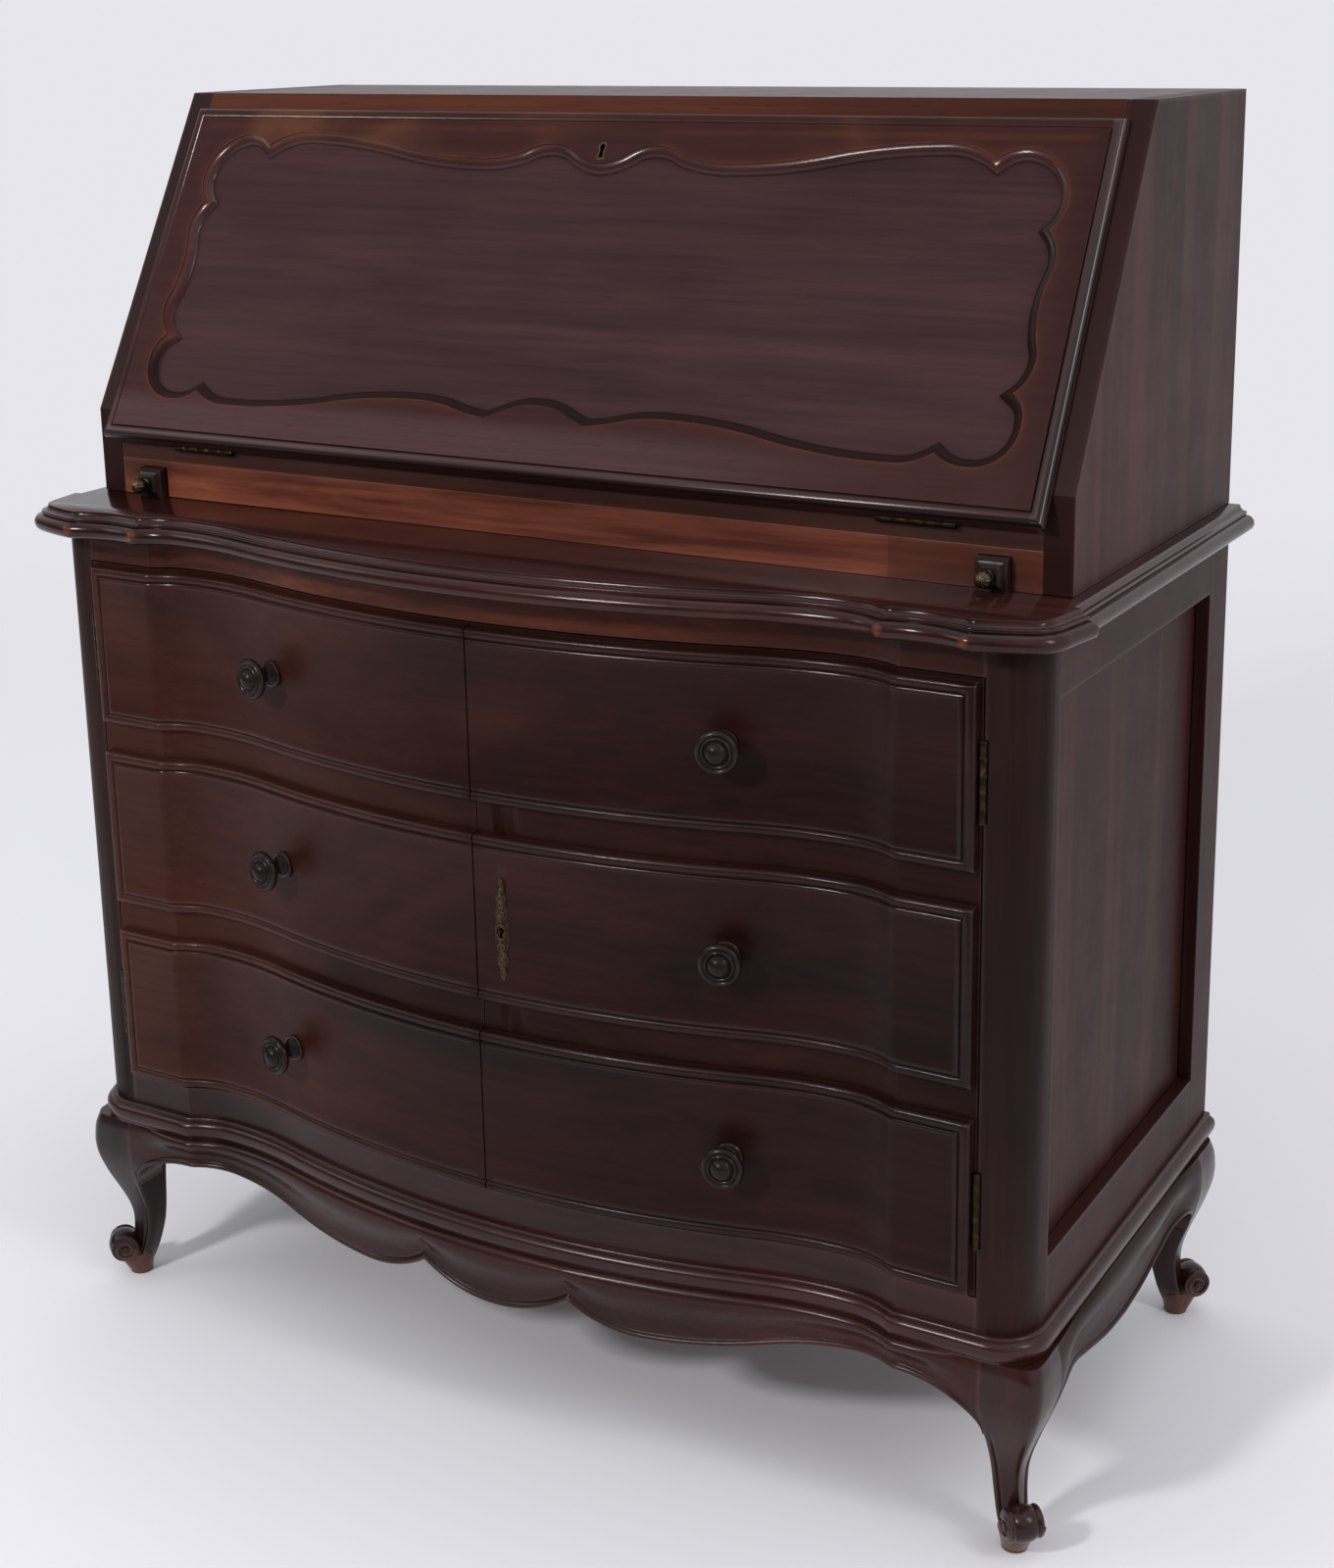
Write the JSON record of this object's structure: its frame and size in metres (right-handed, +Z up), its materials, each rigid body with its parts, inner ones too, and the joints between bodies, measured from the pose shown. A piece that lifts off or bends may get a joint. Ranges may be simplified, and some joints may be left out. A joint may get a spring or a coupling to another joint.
{
  "type": "slant-front bureau",
  "caption": "Slant-front writing bureau with a carved fall on pull-out supports, over a serpentine cupboard whose doors look like drawers, on short cabriole legs.",
  "frame": {"origin": "on the floor under the middle of the outer box", "axes": "+Z up, -Y out of the front, +X to the right of someone who faces the front"},
  "size_m": [0.9236, 0.4676, 1.037],
  "materials": {
    "case_wood": "dark red-brown polish, satin",
    "rail_wood": "warm red-brown polish, satin",
    "knob_wood": "near-black polish, satin",
    "inside_wood": "plain oiled wood",
    "brass": "dull, worn",
    "aged_brass": "dark patina",
    "steel": "dull"
  },
  "bodies": {
    "cabinet": {"leg_rear_right": "case_wood", "leg_rear_left": "case_wood", "leg_front_left": "case_wood", "leg_front_right": "case_wood", "front_apron": "case_wood", "side_apron_right": "case_wood", "side_apron_left": "case_wood", "back_apron": "inside_wood", "base_moulding": "case_wood", "side_panel_right": "case_wood", "front_post_right": "case_wood", "rear_stile_right": "case_wood", "side_rails_right": "case_wood", "side_panel_left": "case_wood", "front_post_left": "case_wood", "rear_stile_left": "case_wood", "side_rails_left": "case_wood", "door_rail_bottom": "case_wood", "door_rail_top": "case_wood", "bottom_board": "inside_wood", "lower_back_panel": "inside_wood", "cupboard_shelf": "inside_wood", "shelf_battens": "inside_wood", "moulded_board": "case_wood", "upper_side_right": "case_wood", "upper_side_left": "case_wood", "upper_top": "case_wood", "upper_back_panel": "inside_wood", "fall_rail": "rail_wood", "desk_board": "rail_wood", "loper_guides": "inside_wood", "fixed_hinge_leaves": "brass", "hinge_pins": "brass", "gallery_shelf": "inside_wood", "gallery_dividers": "inside_wood"},
    "left_door": {"left_door": "case_wood", "left_door_fronts": "case_wood", "left_door_knobs": "knob_wood", "left_door_hinge_leaves": "brass"},
    "right_door": {"right_door": "case_wood", "right_door_fronts": "case_wood", "right_door_knobs": "knob_wood", "right_door_hinge_leaves": "brass", "door_lock_case": "steel", "door_key_plate": "aged_brass"},
    "door_bolt": {"door_lock_bolt": "steel"},
    "fall_flap": {"fall": "case_wood", "fall_key_insert": "aged_brass", "fall_hinge_leaves": "brass", "fall_lock_case": "steel"},
    "fall_bolt": {"fall_lock_bolt": "steel"},
    "left_loper": {"loper_left": "case_wood", "loper_knob_left": "aged_brass"},
    "right_loper": {"loper_right": "case_wood", "loper_knob_right": "aged_brass"},
    "left_drawer": {"gallery_drawer_left": "inside_wood", "gallery_knob_left": "knob_wood"},
    "right_drawer": {"gallery_drawer_right": "inside_wood", "gallery_knob_right": "knob_wood"}
  },
  "joints": [
    {"name": "fall_hinge", "type": "hinge", "parent": "cabinet", "child": "fall_flap", "pos_m": [0, -0.12062, 0.7555], "axis": [1, 0, 0], "range_deg": [0, 119.45]},
    {"name": "left_door_hinge", "type": "hinge", "parent": "cabinet", "child": "left_door", "pos_m": [-0.3974, -0.17975, 0.434], "axis": [0, 0, -1], "range_deg": [0, 110]},
    {"name": "right_door_hinge", "type": "hinge", "parent": "cabinet", "child": "right_door", "pos_m": [0.3974, -0.17975, 0.434], "axis": [0, 0, 1], "range_deg": [0, 110]},
    {"name": "left_loper_slide", "type": "slide", "parent": "cabinet", "child": "left_loper", "axis": [0, -1, 0], "range_m": [0, 0.25]},
    {"name": "right_loper_slide", "type": "slide", "parent": "cabinet", "child": "right_loper", "axis": [0, -1, 0], "range_m": [0, 0.25]},
    {"name": "left_drawer_slide", "type": "slide", "parent": "cabinet", "child": "left_drawer", "axis": [0, -1, 0], "range_m": [0, 0.11]},
    {"name": "right_drawer_slide", "type": "slide", "parent": "cabinet", "child": "right_drawer", "axis": [0, -1, 0], "range_m": [0, 0.11]},
    {"name": "door_bolt_slide", "type": "slide", "parent": "right_door", "child": "door_bolt", "axis": [-1, 0, 0], "range_m": [0, 0.008]},
    {"name": "fall_bolt_slide", "type": "slide", "parent": "fall_flap", "child": "fall_bolt", "axis": [0, 0.4917, 0.8708], "range_m": [0, 0.012]}
  ]
}
